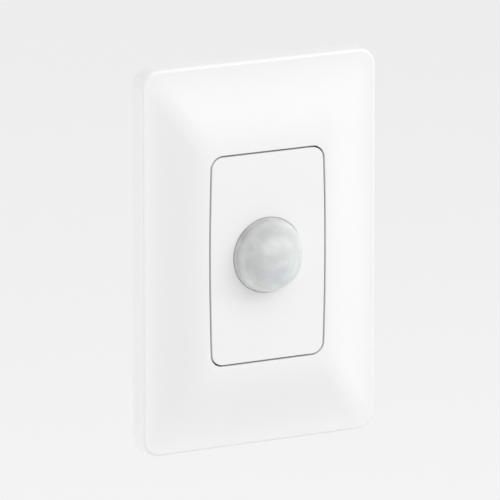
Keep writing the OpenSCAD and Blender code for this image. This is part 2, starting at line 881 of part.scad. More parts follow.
module relay_yoke() {
  color(steel) upright() on_relay() {
    brick(-iron_w / 2, iron_w / 2, 1.6, coil_y + coil_r, relay_base_t, coil_w0);
    brick(-iron_w / 2, iron_w / 2, 1.6, 1.6 + relay_iron, relay_base_t, hinge_w - 0.1);
    rod(0, coil_y, core_r, relay_base_t, pole_w);
    rod(0, coil_y, core_r + 1, coil_w0 + coil_l, pole_w);
  }
}

module relay_bobbin() {
  tube = core_r + running + 0.5;
  color(cream) upright() on_relay() translate([0, coil_y, 0]) difference() {
    union() {
      rod(0, 0, tube, coil_w0, coil_w0 + coil_l);
      rod(0, 0, coil_r, coil_w0, coil_w0 + 0.7);
      rod(0, 0, coil_r, coil_w0 + coil_l - 0.7, coil_w0 + coil_l);
    }
    rod(0, 0, core_r + running, coil_w0 - 1, coil_w0 + coil_l + 1);
  }
}

module relay_winding() {
  color(copper) upright() on_relay() translate([0, coil_y, 0]) difference() {
    rod(0, 0, coil_r - 0.3, coil_w0 + 0.7, coil_w0 + coil_l - 0.7);
    rod(0, 0, core_r + 2 * running + 0.5, coil_w0, coil_w0 + coil_l);
  }
}

module relay_armature() {
  reach = contact_y - contact_r - 1 - hinge_y;
  color(steel) upright() on_relay() translate([-iron_w / 2, hinge_y, hinge_w + hinge_r])
    rotate([90, 0, 90]) linear_extrude(iron_w) {
      circle(hinge_r);
      translate([0, -hinge_r]) square([reach, relay_iron]);
    }
}

module relay_leaf() {
  color(copper) upright() on_relay() {
    brick(-1.8, 1.8, coil_y - 2, contact_y + contact_r, leaf_w, leaf_w + leaf_t);
    rod(0, contact_y, contact_r, leaf_w - contact_t, leaf_w);
  }
}

module relay_fixed_contact() {
  post_y = contact_y + contact_r + 0.2;
  under = fixed_w - contact_t;
  color(copper) upright() on_relay() {
    brick(-1.8, 1.8, post_y, post_y + 0.5, relay_base_t, under);
    brick(-1.8, 1.8, contact_y - contact_r - 0.2, post_y + 0.5, under - 0.5, under);
    rod(0, contact_y, contact_r, under, fixed_w);
  }
}

// Other parts on the back of the board

module film_capacitor() {
  color(yellow) upright() translate([film_x, film_y, 0])
    slab(film_w, film_l, 0.6, board_back - film_h, board_back);
}

module electrolytic_capacitor() {
  color(dark) upright() difference() {
    rod(mid_x, can_y, can_r, board_back - can_h, board_back);
    translate([mid_x, can_y, board_back - 1.6]) rotate_extrude() translate([can_r + 0.3, 0]) circle(0.6);
  }
}

module varistor() {
  disc_z = board_back - 0.4 - varistor_r;
  color(blue) upright() {
    translate([mid_x - varistor_t / 2, varistor_y, disc_z]) rotate([0, 90, 0]) cylinder(r = varistor_r, h = varistor_t);
    brick(mid_x - varistor_t / 2, mid_x + varistor_t / 2, varistor_y - 3, varistor_y + 3, disc_z, board_back);
  }
}

module fuse() {
  color(dark) upright() rod(fuse_x, -low_part_y, fuse_r, board_back - fuse_h, board_back);
}

module rectifier() {
  color(dark) upright() translate([rectifier_x, -low_part_y, 0])
    slab(rectifier_w, rectifier_l, 0.4, board_back - 2.6, board_back);
}

module control_chip() {
  color(dark) upright() translate([0, chip_y, 0]) {
    brick(-4.9, 4.9, -2, 2, board_back - 1.6, board_back);
    for (k = [0 : 6], s = [-1, 1])
      translate([(k - 3) * 1.27, s * 2.4, board_back - 0.15]) cube([0.4, 1.2, 0.3], center = true);
  }
}

// Terminals

module terminal_walls() {
  slot_r = clamp_screw_r + running;
  difference() {
    brick(-inside_w / 2 - 0.5, inside_w / 2 + 0.5, shelf_y, shelf_y + shelf_t, terminal_back - 0.5, -housing_depth);
    for (k = [-1 : 1]) {
      x = k * terminal_pitch;
      rod_up(x, terminal_z, slot_r, shelf_y - 1, shelf_y + shelf_t + 1);
      brick(x - slot_r, x + slot_r, shelf_y - 1, shelf_y + shelf_t + 1, terminal_z, 1 - housing_depth);
    }
  }
  for (s = [-1, 1]) {
    x = s * terminal_pitch / 2;
    brick(x - barrier_t / 2, x + barrier_t / 2, wall_y - 0.5, block_top - housing_wall / 2, terminal_back - 0.5,
      -housing_depth);
  }
}

module latch(s) {
  tongue = s > 0 ? latch_x - latch_t : -latch_x;
  root = s > 0 ? latch_x - latch_t : -latch_x - loose - 0.5;
  barb = s > 0 ? latch_x - 0.1 : -latch_x - latch_barb;
  translate([0, latch_y - latch_l / 2, 0]) {
    brick(tongue, tongue + latch_t, 0, latch_l, terminal_back - 0.5, latch_z);
    brick(root, root + latch_t + loose + 0.5, 0, latch_l, terminal_back - 0.5, -housing_depth);
    brick(barb, barb + latch_barb + 0.1, 0, latch_l, latch_z - 1, latch_z);
  }
}

module terminal_block() {
  color(grey) upright() difference() {
    union() {
      difference() {
        translate([0, block_top - terminal_h / 2, 0])
          slab(housing_w, terminal_h, housing_corner, -terminal_depth, -housing_depth);
        terminal_hollow(terminal_back, 1 - housing_depth);
      }
      terminal_walls();
      for (s = [-1, 1])
        latch(s);
    }
    for (k = [-1 : 1]) {
      rod(k * terminal_pitch, wire_y, wire_r, -terminal_depth - 1, terminal_back + 1);
      rod_up(k * terminal_pitch, terminal_z, driver_r, wall_y - housing_wall - 1, wall_y + 0.1);
    }
  }
}

module contact_bars() {
  pin = bar_t / 2;
  color(brass) upright() for (k = [-1 : 1])
    translate([k * terminal_pitch, bar_y, 0]) {
      brick(-bar_w / 2, bar_w / 2, 0, bar_t, terminal_z - cage_l / 2 + loose, board_back);
      brick(-pin, pin, 0, bar_t, board_back, board_front);
    }
}

module clamp_cage(k) {
  x = cage_w / 2;
  z0 = terminal_z - cage_l / 2;
  z1 = terminal_z + cage_l / 2;
  color(steel) upright() translate([k * terminal_pitch, 0, 0]) difference() {
    brick(-x, x, cage_y, cage_top, z0, z1);
    brick(cage_t - x, x - cage_t, cage_y + cage_t, wire_y1, z0 - 1, z1 + 1);
    rod_up(0, terminal_z, clamp_screw_r + running, cage_y - 1, cage_y + cage_t + 0.1);
  }
}

module clamp_cage_left() {
  clamp_cage(-1);
}

module clamp_cage_middle() {
  clamp_cage(0);
}

module clamp_cage_right() {
  clamp_cage(1);
}

module terminal_screw(k) {
  color(steel) upright() translate([k * terminal_pitch, 0, 0]) difference() {
    union() {
      rod_up(0, terminal_z, clamp_head_r, head_y, head_y + clamp_head_h);
      rod_up(0, terminal_z, clamp_screw_r, head_y + clamp_head_h, tip_y);
    }
    brick(-clamp_head_r, clamp_head_r, head_y - 1, head_y + 0.9, terminal_z - 0.35, terminal_z + 0.35);
  }
}

module terminal_screw_left() {
  terminal_screw(-1);
}

module terminal_screw_middle() {
  terminal_screw(0);
}

module terminal_screw_right() {
  terminal_screw(1);
}

wall_plate();
front_panel();
lens();
lens_ring();
mounting_frame();
rear_housing();
terminal_block();
inner_cover();
cover_screws();
circuit_board();
pir_spacer();
pir_header();
pir_can();
pir_window();
light_sensor();
trimmer_bodies();
time_dial();
light_dial();
selector_body();
selector_knob();
relay_base();
relay_yoke();
relay_bobbin();
relay_winding();
relay_armature();
relay_leaf();
relay_fixed_contact();
relay_case();
film_capacitor();
electrolytic_capacitor();
varistor();
fuse();
rectifier();
control_chip();
part_leads();
contact_bars();
clamp_cage_left();
clamp_cage_middle();
clamp_cage_right();
terminal_screw_left();
terminal_screw_middle();
terminal_screw_right();
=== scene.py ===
"""Looks of the motion sensor light switch: finer meshes, finishes, a plain studio and the camera.

The wall plate, the front panel and the lens are drawn again here as fine meshes with rounded edges.
The other CAD nodes keep their solids, and get rounded edges and a finish.

Sizes are in millimetres on the bench: x across, y up the wall, z out from the wall into the room.
row() turns a point of the bench into the row frame, in metres.
"""

import json
import math

import bmesh
import bpy
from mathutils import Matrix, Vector


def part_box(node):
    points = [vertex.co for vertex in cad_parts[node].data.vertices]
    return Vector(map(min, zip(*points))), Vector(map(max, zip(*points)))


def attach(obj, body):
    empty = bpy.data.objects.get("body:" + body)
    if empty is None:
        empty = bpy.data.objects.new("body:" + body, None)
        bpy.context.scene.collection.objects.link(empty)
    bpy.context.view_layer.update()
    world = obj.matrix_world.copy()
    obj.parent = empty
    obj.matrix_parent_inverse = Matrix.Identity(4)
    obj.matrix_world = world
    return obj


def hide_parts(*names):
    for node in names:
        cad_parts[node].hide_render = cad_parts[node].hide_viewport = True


MM = 0.001

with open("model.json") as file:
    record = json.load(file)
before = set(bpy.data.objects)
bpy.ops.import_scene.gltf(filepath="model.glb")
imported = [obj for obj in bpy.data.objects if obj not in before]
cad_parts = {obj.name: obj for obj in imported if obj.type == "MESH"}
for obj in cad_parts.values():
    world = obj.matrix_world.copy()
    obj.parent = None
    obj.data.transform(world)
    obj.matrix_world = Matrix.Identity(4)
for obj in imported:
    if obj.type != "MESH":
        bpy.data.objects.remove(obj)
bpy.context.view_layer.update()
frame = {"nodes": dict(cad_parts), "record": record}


def row(x, y, z):
    """A bench point in the row frame."""
    return Vector((x, -z, y)) * MM


def bench_reach(node):
    """How far a node reaches on the bench: x, y and z of its highest corner, and its lowest z."""
    low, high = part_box(node)
    return tuple(round(v / MM, 3) for v in (high.x, high.z, -low.y, -high.y))


# Sizes that the frame gives
PLATE_X, PLATE_Y, FACE_Z, _ = bench_reach("wall_plate")
PANEL_X, PANEL_Y, _, SKIRT_Z = bench_reach("front_panel")
FLANGE_R, FLANGE_TOP, DOME_TOP, FLANGE_Z = bench_reach("lens")
*_, RING_Z = bench_reach("lens_ring")
*_, FRAME_FRONT, _ = bench_reach("mounting_frame")

# Roundings of moulded edges, and the step that holds a flat face flat beside one
SMALL_ROUND = 0.15
PANEL_EDGE = 0.12
HOLE_EDGE = 0.06
HOLD = 0.03

# Section of the plate
PLATE_CORNER = 6.0
PLATE_RIM = 6.2
PLATE_WALL = 2.0
PLATE_ROUND = 1.0
PLATE_DRAFT = 0.3
PLATE_LIP = 4.0
EDGE_IN = PLATE_DRAFT + PLATE_ROUND

# Panel: its long sides bow out by PANEL_BOW from PANEL_SIDE
PANEL_CORNER = 3.4
LEAST_CORNER = 0.6
PANEL_BOW = 0.6
PANEL_WALL = 1.8
PANEL_GAP = 0.55
PANEL_SIDE = PANEL_X - PANEL_BOW
PANEL_BACK = FACE_Z - PANEL_WALL

# Opening of the plate, and the widths of the bands round it
OPEN_X = PANEL_SIDE + PANEL_GAP
OPEN_Y = PANEL_Y + PANEL_GAP
OPEN_CORNER = PANEL_CORNER + PANEL_GAP
BAND_X = PLATE_X - OPEN_X
BAND_Y = PLATE_Y - OPEN_Y

# Lens, and the collar of the panel that holds it
LENS_Y = FLANGE_TOP - FLANGE_R
LENS_R = 11.6
LENS_WALL = 0.9
LENS_GAP = 0.12
LENS_RISE = DOME_TOP - FACE_Z
DOME_R = (LENS_R ** 2 + LENS_RISE ** 2) / (2 * LENS_RISE)
DOME_Z = DOME_TOP - DOME_R
DOME_INNER_R = DOME_R - LENS_WALL
HOLE_R = LENS_R + LENS_GAP
COLLAR_GAP = 0.15
COLLAR_WALL = 1.2
COLLAR_R = FLANGE_R + COLLAR_GAP
COLLAR_OUTER_R = COLLAR_R + COLLAR_WALL


# Mesh helpers

# Signs of x and y in the four corners, anticlockwise from the lower right
CORNERS = ((1, -1), (1, 1), (-1, 1), (-1, -1))
# Steps of an outline: round a corner, along a long side and along a short one
CORNER_STEPS = 12
SIDE_STEPS = 48
END_STEPS = 28
# Rounded edges of a block
BLOCK_STEPS = 3
ROUND_PROFILE = 0.5


def ease(t):
    """A smooth way from 0 to 1."""
    return t * t * (3 - 2 * t)


def mix(a, b, t):
    """The number at a share of the way from a to b."""
    return a + (b - a) * t


def span(middle, length):
    """The two ends of a length about its middle."""
    return middle - length / 2, middle + length / 2


def outline(half_x, half_y, corner, bow):
    """A rounded rectangle whose two long sides bow outwards, anticlockwise from its lower right corner."""
    arcs = []
    for k, (sx, sy) in enumerate(CORNERS):
        x, y = sx * (half_x - corner), sy * (half_y - corner)
        turns = [math.radians(90 * (k - 1 + s / CORNER_STEPS)) for s in range(CORNER_STEPS + 1)]
        arcs.append([(x + corner * math.cos(a), y + corner * math.sin(a)) for a in turns])
    points = []
    for k, arc in enumerate(arcs):
        start, end = Vector(arc[-1]), Vector(arcs[(k + 1) % 4][0])
        steps = SIDE_STEPS if k % 2 == 0 else END_STEPS
        points += arc + [tuple(start.lerp(end, s / steps)) for s in range(1, steps)]
    return [(x + math.copysign(bow * (1 - (y / half_y) ** 2), x), y) for x, y in points]


def quarter(radius, steps):
    """Points of a quarter circle as (along, up): from (0, 0), level, to (radius, -radius), upright."""
    angles = [math.radians(90 * s / steps) for s in range(steps + 1)]
    return [(radius * math.sin(a), radius * (math.cos(a) - 1)) for a in angles]


def between_rings(a, b, t):
    """The ring at a share of the way from ring a to ring b."""
    return [tuple(Vector(p).lerp(Vector(q), t)) for p, q in zip(a, b)]


def add_rings(bm, rings, around=True):
    """Skins rings of equally many bench points. With around, the last ring joins the first."""
    loops = [[bm.verts.new(row(*p)) for p in ring] for ring in rings]
    count = len(loops[0])
    following = loops[1:] + loops[:1] if around else loops[1:]
    for a, b in zip(loops, following):
        for j in range(count):
            k = (j + 1) % count
            bm.faces.new((a[j], b[j], b[k], a[k]))
    return loops


def add_block(bm, across, up, out, edge):
    """A block between two bench x, two y and two z, with rounded edges."""
    part = bmesh.new()
    bmesh.ops.create_cube(part, size=1)
    for v in part.verts:
        v.co = row(*(low if c < 0 else high for c, (low, high) in zip(v.co, (across, up, out))))
    bmesh.ops.bevel(
        part, geom=part.edges[:], affect="EDGES",
        offset=edge * MM, segments=BLOCK_STEPS, profile=ROUND_PROFILE,
    )
    block = bpy.data.meshes.new("block")
    part.to_mesh(block)
    part.free()
    bm.from_mesh(block)
    bpy.data.meshes.remove(block)


def new_object(name, data):
    """A new object in the scene."""
    made = bpy.data.objects.new(name, data)
    bpy.context.scene.collection.objects.link(made)
    return made


def add_piece(name, body, node, slot, bm, sharp):
    """A mesh piece that stands for a CAD node; edges that turn by more than sharp degrees stay sharp."""
    bmesh.ops.recalc_face_normals(bm, faces=bm.faces[:])
    mesh = bpy.data.meshes.new(name)
    bm.to_mesh(mesh)
    bm.free()
    mesh.shade_smooth()
    mesh.set_sharp_from_angle(angle=math.radians(sharp))
    mesh.materials.append(FINISHES[slot])
    piece = new_object(name, mesh)
    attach(piece, body)
    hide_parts(node)


# Material helpers

# Most of a noise's values lie between these two
NOISE_LOW = 0.3
NOISE_HIGH = 0.7
# Levels of detail in a noise
PLAIN = 2
FINE = 3


def shader(name):
    """A new material, its node tree and its Principled shader."""
    material = bpy.data.materials.new(name)
    material.use_nodes = True
    tree = material.node_tree
    return material, tree, tree.nodes["Principled BSDF"]


def connect(tree, principled, colour, rough, normal):
    """Links a shader's colour, roughness and normal."""
    for socket, value in (("Base Color", colour), ("Roughness", rough), ("Normal", normal)):
        tree.links.new(value, principled.inputs[socket])


def object_point(tree, stretch=(1, 1, 1)):
    """The piece's own coordinates in millimetres, stretched."""
    place = tree.nodes.new("ShaderNodeTexCoord")
    scale = tree.nodes.new("ShaderNodeVectorMath")
    scale.operation = "MULTIPLY"
    scale.inputs[1].default_value = [1 / (MM * s) for s in stretch]
    tree.links.new(place.outputs["Object"], scale.inputs[0])
    return scale.outputs[0]


def noise(tree, point, size, detail=PLAIN):
    """Noise with spots of about that size in millimetres, around 0.5."""
    node = tree.nodes.new("ShaderNodeTexNoise")
    node.inputs["Scale"].default_value = 1 / size
    node.inputs["Detail"].default_value = detail
    tree.links.new(point, node.inputs["Vector"])
    return node.outputs["Fac"]


def spread(tree, value, low, high):
    """Noise spread from low to high."""
    node = tree.nodes.new("ShaderNodeMapRange")
    node.inputs["From Min"].default_value = NOISE_LOW
    node.inputs["From Max"].default_value = NOISE_HIGH
    node.inputs["To Min"].default_value = low
    node.inputs["To Max"].default_value = high
    tree.links.new(value, node.inputs["Value"])
    return node.outputs["Result"]


def tint(tree, value, low, high):
    """A colour from low to high as a value goes through the range of a noise."""
    node = tree.nodes.new("ShaderNodeValToRGB")
    for stop, place, colour in zip(node.color_ramp.elements, (NOISE_LOW, NOISE_HIGH), (low, high)):
        stop.position = place
        stop.color = (*colour, 1)
    tree.links.new(value, node.inputs["Fac"])
    return node.outputs["Color"]


def bump(tree, height, depth, below=None):
    """A bump of that depth in millimetres, over another one where given."""
    node = tree.nodes.new("ShaderNodeBump")
    node.inputs["Distance"].default_value = depth * MM
    tree.links.new(height, node.inputs["Height"])
    if below:
        tree.links.new(below, node.inputs["Normal"])
    return node.outputs["Normal"]


def calc(tree, operation, value, other):
    """A value that varies, combined with a fixed number or with another that varies."""
    node = tree.nodes.new("ShaderNodeMath")
    node.operation = operation
    tree.links.new(value, node.inputs[0])
    if isinstance(other, bpy.types.NodeSocket):
        tree.links.new(other, node.inputs[1])
    else:
        node.inputs[1].default_value = other
    return node.outputs["Value"]


def fall(tree, value, start, end):
    """1 up to start, falling to 0 at end."""
    node = tree.nodes.new("ShaderNodeMapRange")
    node.interpolation_type = "SMOOTHSTEP"
    node.inputs["From Min"].default_value = start
    node.inputs["From Max"].default_value = end
    node.inputs["To Min"].default_value = 1
    node.inputs["To Max"].default_value = 0
    tree.links.new(value, node.inputs["Value"])
    return node.outputs["Result"]


def distance_from(tree, point, centre):
    """Distance of a point from a fixed one, both in the piece's own millimetres."""
    away = tree.nodes.new("ShaderNodeVectorMath")
    away.operation = "DISTANCE"
    away.inputs[1].default_value = centre
    tree.links.new(point, away.inputs[0])
    return away.outputs["Value"]


def blend(tree, share, under, over):
    """A colour laid over another by a share that varies; the upper one is fixed."""
    node = tree.nodes.new("ShaderNodeMix")
    node.data_type = "RGBA"
    node.inputs["B"].default_value = (*over, 1)
    tree.links.new(share, node.inputs["Factor"])
    tree.links.new(under, node.inputs["A"])
    return node.outputs["Result"]


def multiply(tree, tone, other):
    """A colour that varies, darkened by another."""
    node = tree.nodes.new("ShaderNodeMix")
    node.data_type = "RGBA"
    node.blend_type = "MULTIPLY"
    node.inputs["Factor"].default_value = 1
    tree.links.new(tone, node.inputs["A"])
    tree.links.new(other, node.inputs["B"])
    return node.outputs["Result"]


def shade(colour, amount):
    """A colour made lighter or darker."""
    return tuple(min(1, c * (1 + amount)) for c in colour)


def grey(level):
    """A grey as a colour."""
    return (level, level, level)


# Moulded plastic: sizes of its flow clouds and waves, and how far its gloss varies
CLOUD_SIZE = 14
WAVE_SIZE = 6
WAVE_DEPTH = 0.006
GLOSS_VARIES = 0.05
PLASTIC_IOR = 1.5


def plastic(name, colour, rough, grain, depth, mottle):
    """Moulded plastic: faint flow clouds and waves, and a grained skin whose gloss varies with the grain."""
    material, tree, principled = shader(name)
    point = object_point(tree)
    clouds = noise(tree, point, CLOUD_SIZE, FINE)
    skin = noise(tree, point, grain, FINE)
    waves = noise(tree, point, WAVE_SIZE)
    connect(
        tree, principled,
        tint(tree, clouds, shade(colour, -mottle), shade(colour, mottle)),
        spread(tree, skin, rough - GLOSS_VARIES, rough + GLOSS_VARIES),
        bump(tree, skin, depth, bump(tree, waves, WAVE_DEPTH)),
    )
    principled.inputs["IOR"].default_value = PLASTIC_IOR
    return material


# Metal: its streaks and patches, and how far they change its tone and its roughness
STREAK_WIDTH = 0.08
STREAK_DEPTH = 0.004
STREAK_ROUGH = (-0.08, 0.1)
PATCH_SIZE = 2.5
PATCH_SHADE = (-0.08, 0.05)


def metal(name, colour, rough, streak):
    """Rolled sheet or turned metal: fine streaks along one axis and a slightly uneven tone."""
    material, tree, principled = shader(name)
    lines = noise(tree, object_point(tree, streak), STREAK_WIDTH)
    patches = noise(tree, object_point(tree), PATCH_SIZE, FINE)
    connect(
        tree, principled,
        tint(tree, patches, *(shade(colour, amount) for amount in PATCH_SHADE)),
        spread(tree, lines, *(rough + amount for amount in STREAK_ROUGH)),
        bump(tree, lines, STREAK_DEPTH),
    )
    principled.inputs["Metallic"].default_value = 1
    return material


# Circuit board: sizes of its tracks, pads and weave, and its colours
TRACK_CELL = 11.0
TRACK_PITCH = 1.5
TRACK_RISE = 0.03
PAD_CELL = 4.2
PAD_SCATTER = 0.6
PAD_R = 0.42
PAD_EDGE = 0.06
PAD_RISE = 0.04
WEAVE_SIZE = 0.4
WEAVE_DEPTH = 0.008
LACQUER = (0.012, 0.11, 0.05)
LACQUER_ON_COPPER = (0.035, 0.23, 0.10)
LACQUER_ROUGH = (0.22, 0.34)
TIN = (0.62, 0.63, 0.60)


def cell_distance(tree, point, size, metric, scatter):
    """Distance in millimetres from the middle of the nearest flat cell of about that size.

    The cells stand in a square grid, and scatter shifts them.
    """
    cells = tree.nodes.new("ShaderNodeTexVoronoi")
    cells.voronoi_dimensions = "2D"
    cells.distance = metric
    cells.inputs["Scale"].default_value = 1 / size
    cells.inputs["Randomness"].default_value = scatter
    tree.links.new(point, cells.inputs["Vector"])
    return calc(tree, "MULTIPLY", cells.outputs["Distance"], size)


def board_lacquer():
    """Green lacquer over copper tracks that run square round each other and stand up, with tinned pads."""
    material, tree, principled = shader("board_lacquer")
    point = object_point(tree)
    upright = tree.nodes.new("ShaderNodeMapping")
    upright.inputs["Rotation"].default_value = (math.radians(90), 0, 0)
    tree.links.new(point, upright.inputs["Vector"])
    flat = upright.outputs["Vector"]
    steps = calc(tree, "PINGPONG", cell_distance(tree, flat, TRACK_CELL, "CHEBYCHEV", 1), TRACK_PITCH / 2)
    tracks = calc(tree, "MULTIPLY", steps, 2 / TRACK_PITCH)
    from_pad = cell_distance(tree, flat, PAD_CELL, "EUCLIDEAN", PAD_SCATTER)
    pads = fall(tree, from_pad, PAD_R, PAD_R + PAD_EDGE)
    weave = noise(tree, point, WEAVE_SIZE)
    relief = bump(tree, tracks, TRACK_RISE, bump(tree, weave, WEAVE_DEPTH))
    connect(
        tree, principled,
        blend(tree, pads, tint(tree, tracks, LACQUER, LACQUER_ON_COPPER), TIN),
        spread(tree, weave, *LACQUER_ROUGH),
        bump(tree, pads, PAD_RISE, relief),
    )
    return material


# Milky plastic of the lens: its skin, clouds and facets, and how light spreads in it
MILK = (0.80, 0.815, 0.81)
MILK_ROUGH = (0.26, 0.34)
MILK_GRAIN = 0.25
MILK_DEPTH = 0.002
MILK_CLOUD = 5
MILK_MOTTLE = 0.01
FACET_SIZE = 3.2
FACET_SOFTNESS = 0.25
FACET_SHADE = 0.93
SPREAD_WEIGHT = 0.6
SPREAD_COLOUR = (1, 1, 0.9)
SPREAD_REACH = 1.2
# Painted rings of light and shade that stand in for the foot's wall seen through the dome, a lighter ring
# between darker bands: distance from the lens's axis, and level
PAINTED_FOOT_RINGS = ((9.4, 0.94), (10.3, 1.0), (10.6, 1.0), (11.0, 0.95), (11.6, 0.95))
# Painted shade, painted light, a painted highlight and painted rainbow sheen on the lens, in soft patches
# that lie over each other: colour, bench point, and reach; each patch is full within the core distance that
# follows
PAINTED_PATCH_CORE = 1
# Colours of the painted rainbow sheen
VIOLET = (0.775, 0.775, 0.825)
PALE_VIOLET = (0.79, 0.80, 0.835)
GREEN = (0.82, 0.90, 0.87)
PAINTED_LIGHT_AND_SHADE = (
    # painted shade: darker towards the lens's left
    ((0.69, 0.70, 0.695), (-10, 0.5, 14.5), 14),
    # painted shade: darker towards the lens's top
    ((0.63, 0.64, 0.635), (-2, 11, 13.5), 11),
    # painted light: paler towards the lens's right
    ((0.88, 0.89, 0.885), (10.5, -1, 14.5), 9),
    # painted highlight: a pale spot near the top
    ((0.87, 0.88, 0.875), (-2.8, 4.8, 19.7), 4),
    # painted shade on the foot at the upper left
    ((0.61, 0.615, 0.61), (-8.9, 8.0, 11.6), 4.5),
    # painted light on the foot at the lower left
    ((0.84, 0.85, 0.845), (-7.2, -9.3, 11.8), 5.5),
    # painted rainbow sheen: violet and green patches
    (VIOLET, (-3.4, -4.2, 19.4), 3.6),
    (PALE_VIOLET, (-0.4, -2.2, 20.3), 2.8),
    (GREEN, (4.2, -0.3, 20.1), 4),
    (GREEN, (3.2, -4.8, 19.0), 3.6),
    (GREEN, (0, -8.2, 17.0), 2.6),
)


def facets(tree, point, size):
    """A level for each facet of about that size, from 0 to 1, with soft borders."""
    cells = tree.nodes.new("ShaderNodeTexVoronoi")
    cells.feature = "SMOOTH_F1"
    cells.inputs["Scale"].default_value = 1 / size
    cells.inputs["Smoothness"].default_value = FACET_SOFTNESS
    tree.links.new(point, cells.inputs["Vector"])
    level = tree.nodes.new("ShaderNodeSeparateColor")
    tree.links.new(cells.outputs["Color"], level.inputs["Color"])
    return level.outputs["Red"]


def off_axis(tree, point):
    """Distance of a point from the lens's axis, in millimetres."""
    flat = tree.nodes.new("ShaderNodeVectorMath")
    flat.operation = "MULTIPLY"
    flat.inputs[1].default_value = (1, 0, 1)
    tree.links.new(point, flat.inputs[0])
    return distance_from(tree, flat.outputs["Vector"], (0, 0, LENS_Y))


def ring_tones(tree, distance, rings):
    """A grey by the distance from the lens's axis; rings gives distances in millimetres, and levels."""
    share = tree.nodes.new("ShaderNodeMapRange")
    share.inputs["From Max"].default_value = FLANGE_R
    tree.links.new(distance, share.inputs["Value"])
    ramp = tree.nodes.new("ShaderNodeValToRGB")
    ramp.color_ramp.interpolation = "EASE"
    stops = ramp.color_ramp.elements
    while len(stops) < len(rings):
        stops.new(1)
    for stop, (radius, level) in zip(stops, rings):
        stop.position = radius / FLANGE_R
        stop.color = (*grey(level), 1)
    tree.links.new(share.outputs["Result"], ramp.inputs["Fac"])
    return ramp.outputs["Color"]


def milky_plastic():
    """Milky polyethylene: light spreads under a fine skin, facets show as faint tones, and painted shade,
    painted light, a painted highlight, painted rainbow sheen and painted rings of light and shade at the foot
    lie over its colour.
    """
    material, tree, principled = shader("lens_milky")
    point = object_point(tree)
    skin = noise(tree, point, MILK_GRAIN)
    tone = tint(tree, noise(tree, point, MILK_CLOUD), shade(MILK, -MILK_MOTTLE), shade(MILK, MILK_MOTTLE))
    # Lay the patches of painted shade, light, highlight and rainbow sheen over the colour
    for colour, centre, reach in PAINTED_LIGHT_AND_SHADE:
        away = distance_from(tree, point, row(*centre) / MM)
        tone = blend(tree, fall(tree, away, PAINTED_PATCH_CORE, reach), tone, colour)
    tone = multiply(tree, tone, tint(tree, facets(tree, point, FACET_SIZE), grey(FACET_SHADE), grey(1)))
    # Multiply by the painted rings of light and shade at the foot
    tone = multiply(tree, tone, ring_tones(tree, off_axis(tree, point), PAINTED_FOOT_RINGS))
    connect(tree, principled, tone, spread(tree, skin, *MILK_ROUGH), bump(tree, skin, MILK_DEPTH))
    principled.inputs["Subsurface Weight"].default_value = SPREAD_WEIGHT
    principled.inputs["Subsurface Radius"].default_value = SPREAD_COLOUR
    principled.inputs["Subsurface Scale"].default_value = SPREAD_REACH * MM
    principled.inputs["IOR"].default_value = PLASTIC_IOR
    return material


# Plastics by slot: colour, roughness, size and depth of the grain, and how far the clouds change the colour
PLASTICS = {
    "plate_white": (grey(0.92), 0.36, 0.18, 0.003, 0.004),
    "panel_white": (grey(0.92), 0.38, 0.18, 0.003, 0.004),
    "frame_grey": ((0.72, 0.73, 0.74), 0.5, 0.3, 0.012, 0.012),
    "housing_grey": ((0.60, 0.61, 0.63), 0.5, 0.3, 0.012, 0.012),
    "cover_white": ((0.88, 0.88, 0.87), 0.48, 0.3, 0.010, 0.012),
    "black_plastic": ((0.035, 0.035, 0.04), 0.42, 0.25, 0.010, 0.08),
    "blue_plastic": ((0.07, 0.17, 0.48), 0.34, 0.25, 0.008, 0.03),
    "yellow_plastic": ((0.78, 0.55, 0.09), 0.36, 0.25, 0.008, 0.03),
    "cream_plastic": ((0.86, 0.82, 0.72), 0.45, 0.25, 0.008, 0.02),
    "dark_filter": ((0.02, 0.02, 0.025), 0.14, 0.6, 0.001, 0.2),
}
# Metals by slot: colour, roughness, and how far the streaks stretch along x, y and z
METALS = {
    "steel": ((0.66, 0.67, 0.69), 0.3, (1, 1, 30)),
    "brass": ((0.80, 0.60, 0.26), 0.28, (1, 30, 1)),
    "copper": ((0.76, 0.40, 0.22), 0.32, (30, 1, 1)),
}
FINISHES = {
    **{slot: plastic(slot, *look) for slot, look in PLASTICS.items()},
    **{slot: metal(slot, *look) for slot, look in METALS.items()},
    "board_green": board_lacquer(),
    "lens_milky": milky_plastic(),
}


# Wall plate

# Steps of its skin: the back edge's rounding, the rim, the bands, the opening's edge and the inside
SMALL_STEPS = 3
RIM_STEPS = 12
BAND_STEPS = 56
EDGE_STEPS = 6
INSIDE_STEPS = 24
# Edges of the plate and the panel that turn by more degrees than this stay sharp
SHARP_ANGLE = 40

# Clips: the tongue's root goes on into the shoulder, and the barb's root into the tongue
CLIP_X = 28.75
CLIP_Y = 24.0
CLIP_Z = 0.6
CLIP_T = 1.6
CLIP_L = 7.4
CLIP_ROOT = 1.0
CLIP_EDGE = 0.1
SHOULDER = 2.3
BARB_OUT = 0.6
BARB_ROOT = 0.3
BARB_LIFT = 0.2
BARB_Z = CLIP_Z + BARB_LIFT
BARB_H = 1.0


def plate_height(inset):
    """Height of the plate's face at a distance in from its side edge: an S from the rim up to the panel."""
    t = (inset - EDGE_IN) / (BAND_X - EDGE_IN)
    return mix(PLATE_RIM, FACE_Z, ease(min(max(t, 0), 1)))


def plate_ring(inset_x, inset_y, corner, bow, z):
    """A ring at two distances in from the plate's side and end edges."""
    return [(x, y, z) for x, y in outline(PLATE_X - inset_x, PLATE_Y - inset_y, corner, bow)]


def even_ring(inset, z):
    """A ring at the same distance in from all of the plate's edges."""
    return plate_ring(inset, inset, PLATE_CORNER - inset, 0, z)


def opening_ring(outward, z):
    """A ring at a distance outward from the plate's opening."""
    return plate_ring(BAND_X - outward, BAND_Y - outward, OPEN_CORNER + outward, PANEL_BOW, z)


